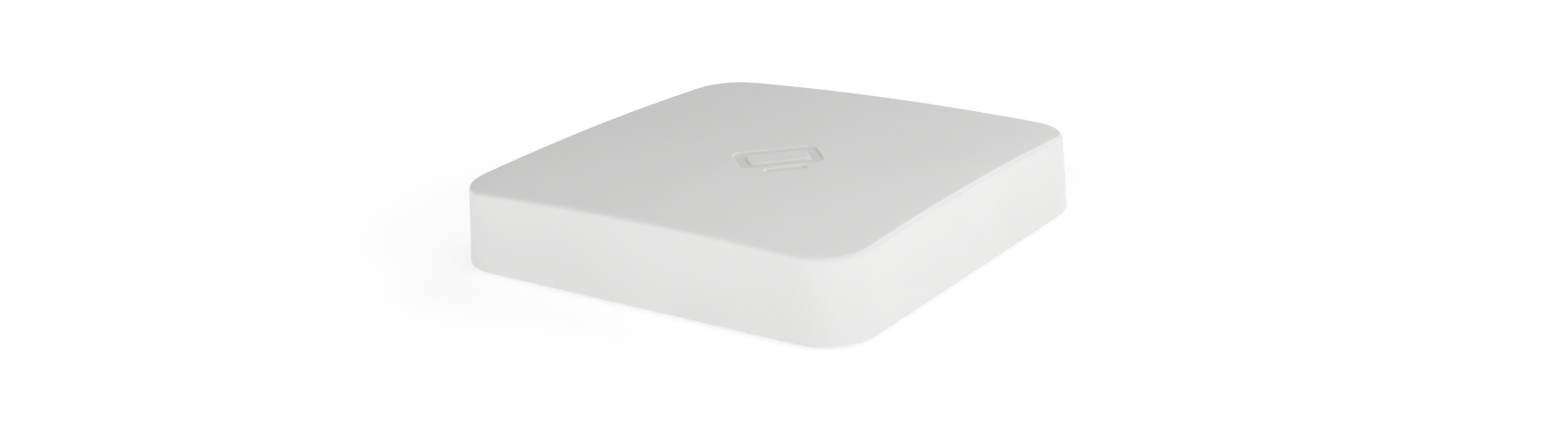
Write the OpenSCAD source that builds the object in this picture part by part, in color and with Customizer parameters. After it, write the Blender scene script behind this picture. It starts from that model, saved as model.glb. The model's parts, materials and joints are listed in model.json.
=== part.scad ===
// Streaming media player: a square, low, domed case on four rubber feet.
// Origin: middle of the case, on the surface it stands on. +Z up, -Y is the front,
// +Y the side with the sockets. Millimetres.

/* [Case] */
// Side of the square case at its widest line
case_w = 100; // [100:0.5:104]
// Height of the wall at a corner, from the rim to the top face
wall_h = 16.7; // [16.7:0.1:17.5]
// How far the middle of the domed top stands above its corners
crown_h = 2.8; // [2.6:0.1:3.2]
// Radius of the upright corners at the rim
corner_r = 11.3; // [11:0.1:12.6]
// How far each wall leans in between the rim and the top
draft = 1.1; // [0.9:0.05:1.1]
// Radius of the edge around the top face
top_edge_r = 1; // [0.8:0.1:2.1]
// Radius of the edge around the rim
rim_edge_r = 0.5; // [0.4:0.1:1]
// Thickness of the side walls
wall_t = 1.8; // [1.7:0.05:1.9]
// Thickness of the top face
top_t = 2; // [1.8:0.1:2.2]
// Gap between the rim and the surface the case stands on
rim_z = 0.8; // [0.8:0.1:1]

/* [Base and feet] */
// Thickness of the base plate
base_t = 1.6; // [1.5:0.1:1.8]
// Radius of a foot
foot_r = 6; // [5:0.1:6.2]
// Distance of a foot's centre from the middle, in X
foot_x = 33; // [32:0.5:33]
// Distance of a foot's centre from the middle, in Y
foot_y = 35; // [35:0.5:36]
// Length of a vent slot in the base
vent_l = 14; // [10:0.5:15]
// Width of a vent slot
vent_w = 1.6; // [1.2:0.1:1.8]

/* [Main board] */
// Height of the board's underside
board_z = 5; // [5:0.1:5.2]
// Thickness of the board
board_t = 1.2; // [1:0.1:1.3]

/* [Sockets and button] */
// Centre of the pairing button, in X
button_x = -35.4; // [-35.6:0.1:-35.2]
// Centre of the power jack
power_x = -27; // [-27.5:0.5:-26.5]
// Centre of the HDMI socket
hdmi_x = -13.5; // [-14:0.5:-13]
// Centre of the Ethernet socket
ethernet_x = 4; // [3.5:0.5:4.5]
// Centre of the USB socket
usb_x = 20.5; // [20.5:0.5:21]
// Centre of the audio and video jack
av_x = 32; // [32:0.1:32.5]
// Radius of the audio and video jack's bore
av_bore_r = 1.8; // [1.78:0.01:1.82]
// Radius of the power jack's bore
power_bore_r = 3.15; // [3:0.05:3.2]
// Radius of the power jack's centre pin
power_pin_r = 1; // [0.95:0.05:1]
// Travel of the pairing button
button_travel = 0.4; // [0.3:0.05:0.4]

/* [Hidden] */
$fn = 48;

half = case_w / 2;
corner_steps = 10;
side_steps = 6;
edge_z = rim_z + wall_h;            // height of the top face at a corner
apex_z = edge_z + crown_h;          // height of the middle of the top face
base_z = rim_z + 0.2;               // underside of the base plate
base_top = base_z + base_t;
board_top = board_z + board_t;
rear_face = half - 1.3;             // outer face of the socket panel
mouth_y = rear_face - 0.3;          // plane of the sockets' mouths
panel_half = 38;                    // half the width of the socket panel
panel_top = 15.5;
panel_in = rear_face - 1.8;         // where the panel's raised part meets its flange
flange_in = rear_face - 2.9;        // inner face of the panel's flange
boss_x = half - 7;                  // case screws
boss_y = half - 16;
stand_x = 36;                       // board screws
stand_y_rear = 24;
stand_y_front = -38;
fit = 0.2;                          // running gap around the sockets
av_z = board_top + 2.6;
power_z = board_top + 3.9;
button_z = board_top + 2.4;
usb_z = board_top + 0.5;
ethernet_z = 3.2;                   // underside of the Ethernet socket, sunk into the board
ethernet_h = 11.5;

// ---------------------------------------------------------------- helpers

// A box centred on a point in X and Y, standing on its Z
module brick(size, at = [0, 0, 0]) {
    translate([at.x - size.x / 2, at.y - size.y / 2, at.z]) cube(size);
}

// An upright slab of a width and height, from y0 to y1, standing on z
module slab_y(size, y0, y1, z, x = 0) {
    translate([x - size.x / 2, y0, z]) cube([size.x, y1 - y0, size.y]);
}

// A round bar along Y from y0 to y1
module bar_y(r, y0, y1, x, z) {
    translate([x, y1, z]) rotate([90, 0, 0]) cylinder(r = r, h = y1 - y0);
}

// A rounded rectangle from squares and circles, so that its corners stay true arcs
module rounded(size, r) {
    square([size.x - 2 * r, size.y], center = true);
    square([size.x, size.y - 2 * r], center = true);
    for (x = [-1, 1], y = [-1, 1])
        translate([x * (size.x / 2 - r), y * (size.y / 2 - r)]) circle(r = r);
}

// A slot with round ends, along X
module slot(l, w) {
    square([l - w, w], center = true);
    for (x = [-1, 1]) translate([x * (l - w) / 2, 0]) circle(r = w / 2);
}

// Children at the four corners of a rectangle
module at_corners(x, y) {
    for (i = [-1, 1], j = [-1, 1]) translate([i * x, j * y, 0]) children();
}

// Children at the four screws of the board
module at_stands(z) {
    for (i = [-1, 1], y = [stand_y_rear, stand_y_front]) translate([i * stand_x, y, z]) children();
}

// Children at the two spring pins of the heat sink
module at_sink_pins(z) {
    for (i = [-1, 1]) translate([sink_x + i * sink_pin, sink_y - i * sink_pin, z]) children();
}

// A cross recess for a driver, cut downwards from z = 0
module cross_recess(size, depth) {
    for (a = [0, 90]) rotate(a) brick([size, size * 0.24, depth], [0, 0, -depth]);
    translate([0, 0, -depth * 1.2]) cylinder(r1 = size * 0.06, r2 = size * 0.26, h = depth * 1.2);
}

// ---------------------------------------------------------------- domed case surface

function quarter(p, q) = q == 0 ? p : q == 1 ? [-p.y, p.x] : q == 2 ? [-p.x, -p.y] : [p.y, -p.x];

// One side of the outline of the case with the corner after it, inset from the widest line
function side_points(a, r) = let (c = a - r, turn = 90 / corner_steps) concat(
    [for (i = [0:side_steps - 1]) [a, c * (2 * i / side_steps - 1)]],
    [for (i = [0:corner_steps - 1]) [c + r * cos(turn * i), c + r * sin(turn * i)]]);
function outline(inset) = [for (q = [0:3], p = side_points(half - inset, corner_r - inset)) quarter(p, q)];

// Rise of the dome at a point, over its height at the corners of the square
function dome(p) = crown_h * (1 - (p.x * p.x + p.y * p.y) / (2 * half * half));

function flat_ring(inset, z) = [for (p = outline(inset)) [p.x, p.y, z]];
function dome_ring(inset, z, s = 1) = [for (p = outline(inset)) let (q = p * s) [q.x, q.y, z + dome(q)]];

// Closed surface through rings of equal length, with a fan to a point at each end
module skin(first, rings, last) {
    n = len(rings[0]);
    end = 1 + len(rings) * n;
    polyhedron(
        points = concat([first], [for (r = rings) each r], [last]),
        faces = concat(
            [for (i = [0:n - 1]) [0, 1 + (i + 1) % n, 1 + i]],
            [for (k = [0:len(rings) - 2], i = [0:n - 1])
                let (a = 1 + k * n + i, b = 1 + k * n + (i + 1) % n) each [[a, b, b + n], [a, b + n, a + n]]],
            [for (i = [0:n - 1]) [end, end - n + i, end - n + (i + 1) % n]]));
}

module case_skin() {
    inner_r = 1;
    ceiling = edge_z - top_t;
    top_in = draft + top_edge_r;
    inner_in = draft + wall_t + inner_r;
    skin([0, 0, apex_z], concat(
        [for (s = [0.25, 0.5, 0.72, 0.88]) dome_ring(top_in, edge_z, s)],
        [for (t = [90:-18:0])
            dome_ring(draft + top_edge_r * (1 - cos(t)), edge_z - top_edge_r * (1 - sin(t)))],
        [for (t = [0:30:90]) flat_ring(rim_edge_r * (1 - cos(t)), rim_z + rim_edge_r * (1 - sin(t)))],
        [flat_ring(wall_t, rim_z)],
        [for (t = [0:45:90])
            dome_ring(draft + wall_t + inner_r * (1 - cos(t)), ceiling - inner_r * (1 - sin(t)))],
        [for (s = [0.8, 0.5, 0.25]) dome_ring(inner_in, ceiling, s)]),
        [0, 0, apex_z - top_t]);
}

// A sunken sign on the top, the outline of a screen on a stand, read from the corner between
// the front and the right side
module emblem_cut(depth) {
    at = [6.6, -6.7];
    translate([at.x, at.y, edge_z + dome(at) - depth]) rotate(45) {
        linear_extrude(2) translate([0, 1.8]) difference() {
            rounded([18, 11], 2);
            rounded([13.2, 6.2], 0.9);
        }
        translate([0, -6.4, 0]) linear_extrude(2) slot(9, 2);
    }
}

// ---------------------------------------------------------------- case

module top_cover() {
    boss_r = 3;
    boss_z = base_top + 0.9;
    color("white") difference() {
        union() {
            case_skin();
            for (i = [-1, 1], j = [-1, 1]) {
                translate([i * boss_x, j * boss_y, boss_z]) cylinder(r = boss_r, h = edge_z - boss_z - 0.4);
                brick([4.4, 1.2, 10], [i * (half - 3.6), j * boss_y, base_top + 2.8]);
            }
            // slotted posts that hold the antennas on the side walls
            for (i = [-1, 1], y = [-19.2, 17.2]) brick([2.6, 3, 10], [i * (half - 3), y, 6.5]);
            // ribs across the ceiling
            for (y = [-30, 30]) brick([60, 1, 2.2], [0, y, edge_z - 1]);
        }
        at_corners(boss_x, boss_y) translate([0, 0, boss_z - 1]) cylinder(r = 1.15, h = 10);
        for (i = [-1, 1]) brick([0.9, 36.4, 9], [i * (half - 3.4), -1, 6.9]);
        // opening for the socket panel
        brick([2 * panel_half + 0.2, 6, panel_top + 0.1], [0, half - 0.2, 0]);
        // pocket that thins the wall to let the status light through, and holds its guide
        bar_y(1.35, 1 - half, 3 - half, 0, light_z);
        emblem_cut(0.4);
    }
}

light_z = board_top + 0.9;

module bottom_cover() {
    plate_half = half - wall_t - 0.2;
    plate_r = corner_r - wall_t - 0.2;
    lip_out = plate_half - 0.3;
    color("gainsboro") difference() {
        union() {
            translate([0, 0, base_z]) linear_extrude(base_t)
                rounded([2 * plate_half, 2 * plate_half], plate_r);
            translate([0, 0, base_top - 0.3]) linear_extrude(2.5) difference() {
                rounded([2 * lip_out, 2 * lip_out], plate_r - 0.3);
                rounded([2 * lip_out - 2.2, 2 * lip_out - 2.2], plate_r - 1.4);
            }
            at_corners(boss_x, boss_y) translate([0, 0, base_top - 0.3]) cylinder(r = 3.6, h = 1.1);
            at_stands(base_top - 0.3) cylinder(r = 2.8, h = board_z - base_top + 0.3);
        }
        // notch for the socket panel
        brick([2 * panel_half + 3.6, 8, 20], [0, flange_in - 0.2 + 4, -1]);
        at_corners(boss_x, boss_y) {
            translate([0, 0, base_z - 1]) cylinder(r = 2.8, h = 2.1);
            cylinder(r = 1.5, h = 10);
        }
        at_stands(base_top - 0.4) cylinder(r = 0.95, h = 10);
        at_corners(foot_x, foot_y) translate([0, 0, base_z - 1]) cylinder(r = foot_r + 0.1, h = 1.5);
        for (i = [-1:1], j = [-4:4])
            translate([i * (vent_l + 3), j * 3.8 - 5, 0]) linear_extrude(5) slot(vent_l, vent_w);
        // slots that share the air under the sockets
        for (i = [-1:1]) translate([i * 7, 40.5, 0]) linear_extrude(5) slot(5, vent_w);
    }
}

module rear_panel() {
    h = panel_top - base_z;
    color("gainsboro") difference() {
        union() {
            slab_y([2 * panel_half, h], panel_in - 0.1, rear_face, base_z);
            slab_y([2 * panel_half + 3, h], flange_in, panel_in, base_z);
        }
        bar_y(button_r + 0.15, flange_in - 1, rear_face + 1, button_x, button_z);
        bar_y(power_nose_r + fit, flange_in - 1, rear_face + 1, power_x, power_z);
        bar_y(av_nose_r + fit, flange_in - 1, rear_face + 1, av_x, av_z);
        hdmi_bar(-fit, flange_in - 1, rear_face + 1);
        brick([usb_w + 2 * fit, 10, usb_h + 2 * fit], [usb_x, rear_face, usb_z - fit]);
        brick([ethernet_w + 2 * fit, 10, ethernet_h + 2 * fit], [ethernet_x, rear_face, ethernet_z - fit]);
    }
}

module rubber_feet() {
    color("dimgray") at_corners(foot_x, foot_y) {
        top = base_z + 0.5;
        rotate_extrude() polygon([[0, 0], [foot_r - 0.4, 0], [foot_r, 0.4], [foot_r, top], [0, top]]);
    }
}

module case_screws() {
    seat = base_z + 1.1;
    color("silver") at_corners(boss_x, boss_y) difference() {
        union() {
            translate([0, 0, seat - 0.9]) cylinder(r = 2.4, h = 0.9);
            translate([0, 0, seat]) cylinder(r = 1.3, h = 9);
            translate([0, 0, seat + 9]) cylinder(r1 = 1.3, r2 = 0.5, h = 1);
        }
        translate([0, 0, seat - 0.9]) mirror([0, 0, 1]) cross_recess(3, 0.7);
    }
}

module rating_label() {
    color("whitesmoke") translate([0, 24, base_z - 0.12]) linear_extrude(0.12) rounded([44, 12], 1.2);
}

// ---------------------------------------------------------------- main board

module main_board() {
    color("darkgreen") difference() {
        union() {
            brick([2 * (boss_x - 3.8), 2 * half - 12.6, board_t], [0, -0.3, board_z]);
            brick([2 * half - 12, 2 * (boss_y - 3.8), board_t], [0, 0, board_z]);
        }
        brick([ethernet_w + 0.4, 30, 5], [ethernet_x, ethernet_back + 15 - 0.2, board_z - 1]);
        at_stands(0) cylinder(r = 1.4, h = 10);
        at_sink_pins(0) cylinder(r = 1.6, h = 10);
    }
}

module board_screws() {
    color("silver") at_stands(board_top) difference() {
        union() {
            cylinder(r = 2.3, h = 1.1);
            translate([0, 0, -3.4]) cylinder(r = 1.1, h = 3.5);
        }
        translate([0, 0, 1.1]) cross_recess(2.6, 0.7);
    }
}

sink_x = -6;
sink_y = -2;
sink_w = 40;
sink_pin = 17;
soc_h = 1.2;
pad_h = 0.6;
sink_z = board_top + soc_h + pad_h;

module processor() {
    color("dimgray") brick([15, 15, 0.35], [sink_x, sink_y, board_top]);
    color("black") brick([13.4, 13.4, soc_h - 0.3], [sink_x, sink_y, board_top + 0.3]);
}

module thermal_pad() {
    color("lightsteelblue") brick([14, 14, pad_h], [sink_x, sink_y, board_top + soc_h]);
}

module heat_sink() {
    base = 1.6;
    color("silver") difference() {
        union() {
            brick([sink_w, sink_w, base], [sink_x, sink_y, sink_z]);
            for (i = [0:12]) brick([1, sink_w, 5.6], [sink_x + (i - 6) * 3.2, sink_y, sink_z + base - 0.2]);
        }
        at_sink_pins(0) cylinder(r = 1.7, h = 40);
        at_sink_pins(sink_z + base) brick([7.4, 7.4, 20]);
    }
}

module heat_sink_pins() {
    head_z = sink_z + 5.6;
    color("ivory") at_sink_pins(0) {
        translate([0, 0, board_z - 1.2]) cylinder(r1 = 1, r2 = 1.9, h = 1.1);
        translate([0, 0, board_z - 0.2]) cylinder(r = 1.4, h = head_z + 0.4 - board_z);
        translate([0, 0, head_z]) cylinder(r = 2.6, h = 0.8);
    }
}

// Coil springs between the heads of the pins and the base of the sink
module heat_sink_springs() {
    turns = 5;
    steps = 10;
    wire_r = 0.2;
    coil_r = 2;
    pitch = 0.68;
    helix = [for (i = [0:turns * steps])
        [coil_r * cos(i * 360 / steps), coil_r * sin(i * 360 / steps), i * pitch / steps]];
    color("silver") at_sink_pins(sink_z + 2) skin_tube(helix, wire_r, 6);
}

module memory_chips() {
    color("black") for (p = [[9, -2], [sink_x, -19.5]]) {
        brick([8, 12, 0.9], [p.x, p.y, board_top + 0.2]);
        brick([7, 11, 0.3], [p.x, p.y, board_top]);
    }
}

module flash_chip() {
    color("black") {
        brick([11.5, 13, 0.8], [-21, -2, board_top + 0.2]);
        brick([10.5, 12, 0.3], [-21, -2, board_top]);
    }
}

// Small outline packages, with their leads
module power_chips() {
    for (p = [[-41, -12], [-41, -22], [24.5, 8]]) translate([p.x, p.y, board_top]) {
        color("black") brick([3.6, 4.9, 1.3], [0, 0, 0.2]);
        color("silver") for (i = [-1, 1], j = [-1.5:1:1.5]) brick([1.4, 0.4, 0.3], [i * 2.1, j * 1.27, 0]);
    }
}

module power_inductors() {
    for (y = [-8, -16, -24]) translate([-34, y, board_top]) difference() {
        color("dimgray") linear_extrude(2.8) rounded([6, 6], 1);
        translate([0, 0, 2.6]) cylinder(r = 2, h = 1);
    }
}

module electrolytic_capacitors() {
    for (p = [[-39, 8], [-39, 0], [33, 8], [33, 0]]) translate([p.x, p.y, board_top]) {
        color("black") brick([6.6, 6.6, 0.9]);
        color("silver") {
            translate([0, 0, 0.8]) cylinder(r = 3.1, h = 5);
        }
    }
}

// Rows of small ceramic capacitors and resistors
module ceramic_passives() {
    color("tan") {
        for (i = [0:7]) brick([0.8, 1.6, 0.7], [-38 + i * 2, -33, board_top]);
        for (i = [0:5]) brick([1.6, 0.8, 0.7], [-29.3, 14 - i * 2, board_top]);
        for (i = [0:6]) brick([0.8, 1.6, 0.7], [-12 + i * 2, 23, board_top]);
        for (i = [0:5]) brick([1.6, 0.8, 0.7], [19, 9 - i * 2, board_top]);
        for (i = [0:5]) brick([0.8, 1.6, 0.7], [-4 + i * 2, -30, board_top]);
        for (i = [0:4]) brick([1.6, 0.8, 0.7], [41.5, -16 + i * 2, board_top]);
        for (i = [0:3]) brick([0.8, 1.6, 0.7], [18 + i * 2.4, 31.5, board_top]);
        for (i = [0:2]) brick([0.8, 1.6, 0.7], [-17 + i * 2.4, 33, board_top]);
    }
}

module clock_crystals() {
    for (p = [[19.5, -6, 0], [14.6, 23, 90]]) translate([p.x, p.y, board_top]) rotate(p.z) {
        color("goldenrod") brick([3.2, 2.5, 0.4]);
        color("silver") brick([2.9, 2.2, 0.4], [0, 0, 0.3]);
    }
}

// ---------------------------------------------------------------- wireless

shield_x = 27.5;
shield_y = -22;
shield_w = 20;
shield_d = 18;

module wifi_module() {
    color("midnightblue") brick([15, 13, 0.6], [shield_x, shield_y, board_top]);
    color("black") brick([7, 7, 0.8], [shield_x - 2, shield_y, board_top + 0.5]);
    color("silver") brick([2.5, 2, 0.7], [shield_x + 5, shield_y + 3, board_top + 0.5]);
}

module shield_frame() {
    t = 0.2;
    color("silver") translate([shield_x, shield_y, board_top]) difference() {
        brick([shield_w, shield_d, 1.9]);
        brick([shield_w - 2 * t, shield_d - 2 * t, 3], [0, 0, -0.5]);
    }
}

module shield_lid() {
    t = 0.2;
    color("lightgray") translate([shield_x, shield_y, board_top]) difference() {
        brick([shield_w + 2 * t + 0.1, shield_d + 2 * t + 0.1, 2.15], [0, 0, 0.4]);
        brick([shield_w + 0.1, shield_d + 0.1, 1.9], [0, 0, 0.1]);
        for (i = [-3:3], j = [-2:2]) translate([i * 2.4, j * 3, 0]) cylinder(r = 0.5, h = 5);
    }
}

plug_left = 20;
plug_right = 30;
plug_y = -35;

// Two small coaxial plugs on the board, each with its crimped neck towards its antenna
module antenna_plugs() {
    for (p = [[plug_left, -1], [plug_right, 1]]) translate([p.x, plug_y, board_top]) color("goldenrod") {
        difference() {
            cylinder(r = 1.5, h = 1.4);
            translate([0, 0, 1]) cylinder(r = 0.5, h = 1);
        }
        brick([2.4, 1.6, 1.4], [p.y * 1.9, 0, 0.3]);
    }
}

module antenna_plate(side) {
    translate([side * (half - 3.4), -1, 7]) difference() {
        brick([0.8, 36, 8]);
        brick([2, 0.8, 5], [0, 6, 1]);
        brick([2, 12, 0.8], [0, -2, 5.2]);
    }
}

module antenna_left() {
    color("black") antenna_plate(-1);
}

module antenna_right() {
    color("black") antenna_plate(1);
}

// Routes of the two leads, from each plug on the board to its antenna
route_right = [[33.1, -35, 7.2], [34.6, -35, 7.2], [36.6, -34, 7.3], [38.4, -32.7, 7.6], [39.8, -30.6, 8],
    [40.8, -28, 8.4], [41.7, -25, 8.8], [42.6, -21.5, 9.1], [43.5, -18, 9.4], [44.4, -14.6, 9.6],
    [45.2, -11.4, 9.8], [45.5, -8.6, 9.8]];
route_left = [[16.9, -35, 7.2], [15.4, -35, 7.2], [12.4, -35.6, 7.4], [8, -36.6, 7.7], [2.4, -37.6, 7.8],
    [-4, -38.1, 7.8], [-10, -38.3, 7.8], [-16, -38.1, 7.8], [-21.8, -37.4, 7.9], [-27.4, -36, 8.1],
    [-32.6, -33.8, 8.5], [-36.6, -31.2, 8.9], [-39.6, -28, 9.2], [-41.6, -24.4, 9.4], [-43, -20.4, 9.6],
    [-44.2, -16, 9.7], [-45.1, -11.8, 9.8], [-45.5, -8.6, 9.8]];
cable_r = 0.57;

function unit(v) = v / norm(v);
// Ring of points around a route point, square to the direction of travel
function tube_ring(p, along, r, sides) = let (u = unit(cross(along, [0, 0, 1])), v = cross(u, unit(along)))
    [for (i = [0:sides - 1]) p + r * (cos(360 * i / sides) * u + sin(360 * i / sides) * v)];

// Round wire swept along a route
module skin_tube(route, r, sides) {
    last = len(route) - 1;
    skin(route[0],
        [for (i = [0:last]) tube_ring(route[i], route[min(i + 1, last)] - route[max(i - 1, 0)], r, sides)],
        route[last]);
}

module antenna_cable_left() {
    color("dimgray") skin_tube(route_left, cable_r, 8);
}

module antenna_cable_right() {
    color("dimgray") skin_tube(route_right, cable_r, 8);
}

// ---------------------------------------------------------------- status light

module status_led() {
    color("white") brick([3, 1.4, 1.6], [0, 6.4 - half, board_top]);
}

module light_guide() {
    color("lightcyan") {
        bar_y(1.25, 1.1 - half, 5 - half, 0, light_z);
        brick([4.4, 1, 2.6], [0, 5.1 - half, board_top]);
    }
}

// ---------------------------------------------------------------- sockets

hdmi_w = 15;
hdmi_h = 5.6;
hdmi_d = 12;

// Outline of the HDMI shell, which narrows towards the board. X is across, Y is up
module hdmi_outline(inset) {
    a = hdmi_w / 2 - inset;
    b = a - 1.9 + inset * 0.4;
    top = hdmi_h - inset;
    polygon([[-a, top], [a, top], [a, 2.2], [b, inset + 0.4],
        [b - 0.5, inset], [0.5 - b, inset], [-b, inset + 0.4], [-a, 2.2]]);
}

// That outline as a bar along Y from y0 to y1
module hdmi_bar(inset, y0, y1) {
    translate([hdmi_x, y1, board_top]) rotate([90, 0, 0]) linear_extrude(y1 - y0) hdmi_outline(inset);
}

module hdmi_shell() {
    color("silver") {
        difference() {
            hdmi_bar(0, mouth_y - hdmi_d, mouth_y);
            hdmi_bar(0.35, mouth_y - hdmi_d + 0.3, mouth_y + 1);
        }
        // tabs soldered to the board
        for (i = [-1, 1], y = [4.5, 10]) brick([3, 1.8, 0.3], [hdmi_x + i * 6.6, mouth_y - y, board_top]);
    }
}

module hdmi_tongue() {
    color("black") {
        hdmi_bar(0.4, mouth_y - hdmi_d + 0.4, mouth_y - hdmi_d + 4);
        slab_y([11, 1.7], mouth_y - hdmi_d + 0.4, mouth_y - 1, board_top + 2.2, hdmi_x);
    }
    color("gold") for (i = [-4.5:1:4.5], z = [2.1, 3.88])
        slab_y([0.4, 0.12], mouth_y - 8.4, mouth_y - 2, board_top + z, hdmi_x + i);
}

ethernet_w = 16;
ethernet_d = 21;
ethernet_back = mouth_y - ethernet_d;
plug_w = 11.8;                      // width of the Ethernet plug's opening
wire_pitch = 1.02;

module ethernet_shell() {
    t = 0.3;
    color("silver") difference() {
        slab_y([ethernet_w, ethernet_h], ethernet_back, mouth_y, ethernet_z, ethernet_x);
        slab_y([ethernet_w - 2 * t, ethernet_h - 2 * t],
            ethernet_back + t, mouth_y + 1, ethernet_z + t, ethernet_x);
    }
    // tabs that carry the socket in its cut-out of the board
    color("silver") for (i = [-1, 1], y = [8, 17])
        brick([1.5, 1.8, t], [ethernet_x + i * (ethernet_w / 2 + 0.65), mouth_y - y, board_top]);
}

module ethernet_insert() {
    t = 0.35;
    front = mouth_y - 0.2;
    color("black") difference() {
        slab_y([ethernet_w - 2 * t, ethernet_h - 2 * t],
            ethernet_back + t + 0.15, front, ethernet_z + t, ethernet_x);
        for (notch = [[plug_w, 3.4, 7], [6.2, 1.9, 2], [3.4, 0.9, 1.4]])
            slab_y([notch.x, notch.z], front - 13.5, front + 1, ethernet_z + notch.y, ethernet_x);
        for (i = [-3.5:1:3.5])
            slab_y([0.5, 0.4], front - 9, front + 1, ethernet_z + 10.3, ethernet_x + i * wire_pitch);
    }
}

// Eight sprung wires that slope down into the plug's opening
module ethernet_contacts() {
    color("gold") for (i = [-3.5:1:3.5])
        translate([ethernet_x + i * wire_pitch, mouth_y - 1.4, ethernet_z + 10.7]) rotate([13, 0, 0])
            slab_y([0.36, 0.3], -9, 0, -0.3);
}

module ethernet_transformer() {
    translate([24.5, 21.5, board_top]) {
        color("black") brick([13, 7, 3.6], [0, 0, 0.3]);
        color("silver") for (i = [-5:5], j = [-1, 1]) brick([0.5, 1.4, 0.4], [i * 1.1, j * 4, 0]);
    }
}

usb_w = 13.2;
usb_h = 5.8;
usb_d = 14;

module usb_shell() {
    t = 0.3;
    back = mouth_y - usb_d;
    color("silver") {
        difference() {
            slab_y([usb_w, usb_h], back, mouth_y, usb_z, usb_x);
            slab_y([usb_w - 2 * t, usb_h - 2 * t], back + t, mouth_y + 1, usb_z + t, usb_x);
            for (i = [-3, 3]) slab_y([2, 2], mouth_y - 8.7, mouth_y - 3.3, usb_z + usb_h - 1, usb_x + i);
        }
        // sprung fingers that press on the plug
        for (i = [-3, 3]) slab_y([1.5, t], mouth_y - 8.8, mouth_y - 4.2, usb_z + usb_h - t, usb_x + i);
        // tabs soldered to the board
        for (i = [-1, 1], y = [4, 10])
            brick([t, 1.6, 0.5], [usb_x + i * (usb_w - t) / 2, mouth_y - y, board_top]);
    }
}

module usb_tongue() {
    back = mouth_y - usb_d + 0.5;
    color("white") {
        slab_y([12.4, 5], back, back + 4, usb_z + 0.4, usb_x);
        slab_y([11.1, 1.85], back, mouth_y - 1.8, usb_z + 3.15, usb_x);
    }
    color("gold") for (i = [-3.5, -1.25, 1.25, 3.5])
        slab_y([1, 0.15], mouth_y - 9.1, mouth_y - 2.2, usb_z + 3.02, usb_x + i);
}

jack_front = flange_in - 0.2;
av_nose_r = 2.6;

module av_jack() {
    color("black") difference() {
        union() {
            slab_y([6, 5.2], mouth_y - 12, jack_front, board_top, av_x);
            bar_y(av_nose_r, jack_front - 1, mouth_y, av_x, av_z);
        }
        bar_y(av_bore_r, mouth_y - 11, mouth_y + 1, av_x, av_z);
    }
}

power_nose_r = 3.85;
power_root_r = 1.5;

module power_jack() {
    color("black") difference() {
        union() {
            slab_y([8.6, 7.8], mouth_y - 13.4, jack_front, board_top, power_x);
            bar_y(power_nose_r, jack_front - 1, mouth_y, power_x, power_z);
        }
        bar_y(power_bore_r, mouth_y - 10, mouth_y + 1, power_x, power_z);
        bar_y(power_root_r, mouth_y - 12, mouth_y - 9.5, power_x, power_z);
    }
}

// The pin stands free in the bore, and its thicker root is pressed into the back of the jack
module power_jack_pin() {
    color("silver") {
        bar_y(power_root_r, mouth_y - 12, mouth_y - 10, power_x, power_z);
        bar_y(power_pin_r, mouth_y - 10.5, mouth_y - 1.2, power_x, power_z);
        translate([power_x, mouth_y - 1.2, power_z]) rotate([-90, 0, 0])
            cylinder(r1 = power_pin_r, r2 = power_pin_r * 0.55, h = 0.5);
    }
}

// ---------------------------------------------------------------- pairing button

button_r = 1.9;
button_back = flange_in - 1;

module pair_button() {
    color("white") {
        bar_y(button_r, button_back + 0.5, rear_face + 0.4, button_x, button_z);
        bar_y(button_r + 0.7, button_back, button_back + 0.9, button_x, button_z);
    }
}

module switch_plunger() {
    color("black") bar_y(0.85, button_back - 1.7, button_back, button_x, button_z);
}

module switch_body() {
    front = button_back - 0.7;
    color("black") difference() {
        brick([4.4, 3.2, 4.4], [button_x, front - 1.6, board_top]);
        bar_y(1, front - 1.6, front + 1, button_x, button_z);
    }
    color("silver") for (i = [-1, 1]) brick([0.4, 1.2, 3], [button_x + i * 2.3, front - 1.6, board_top]);
}

// ---------------------------------------------------------------- nodes

top_cover();
bottom_cover();
rear_panel();
rubber_feet();
case_screws();
rating_label();
main_board();
board_screws();
processor();
thermal_pad();
heat_sink();
heat_sink_pins();
heat_sink_springs();
memory_chips();
flash_chip();
power_chips();
power_inductors();
electrolytic_capacitors();
ceramic_passives();
clock_crystals();
wifi_module();
shield_frame();
shield_lid();
antenna_plugs();
antenna_left();
antenna_right();
antenna_cable_left();
antenna_cable_right();
status_led();
light_guide();
hdmi_shell();
hdmi_tongue();
ethernet_shell();
ethernet_insert();
ethernet_contacts();
ethernet_transformer();
usb_shell();
usb_tongue();
av_jack();
power_jack();
power_jack_pin();
pair_button();
switch_plunger();
switch_body();
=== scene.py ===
import json
import math

import bmesh
import bpy
from mathutils import Matrix, Vector


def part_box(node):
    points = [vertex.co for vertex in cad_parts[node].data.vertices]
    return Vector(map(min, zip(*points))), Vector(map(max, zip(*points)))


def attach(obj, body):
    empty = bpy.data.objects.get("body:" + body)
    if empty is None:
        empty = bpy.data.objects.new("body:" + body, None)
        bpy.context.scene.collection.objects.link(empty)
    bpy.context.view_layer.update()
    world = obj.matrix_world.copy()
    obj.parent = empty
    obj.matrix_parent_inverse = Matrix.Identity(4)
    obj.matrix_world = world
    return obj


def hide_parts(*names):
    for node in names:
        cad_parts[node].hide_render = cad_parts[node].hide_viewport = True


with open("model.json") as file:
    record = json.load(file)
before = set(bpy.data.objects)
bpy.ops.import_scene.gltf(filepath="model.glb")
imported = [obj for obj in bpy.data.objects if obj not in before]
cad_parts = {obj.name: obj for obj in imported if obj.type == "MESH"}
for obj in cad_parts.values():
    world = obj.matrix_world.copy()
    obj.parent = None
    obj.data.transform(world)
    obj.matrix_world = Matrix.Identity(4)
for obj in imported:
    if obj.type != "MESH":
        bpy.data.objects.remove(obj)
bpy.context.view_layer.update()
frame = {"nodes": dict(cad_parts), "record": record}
CAD = frame["nodes"]
MM = 0.001

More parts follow.
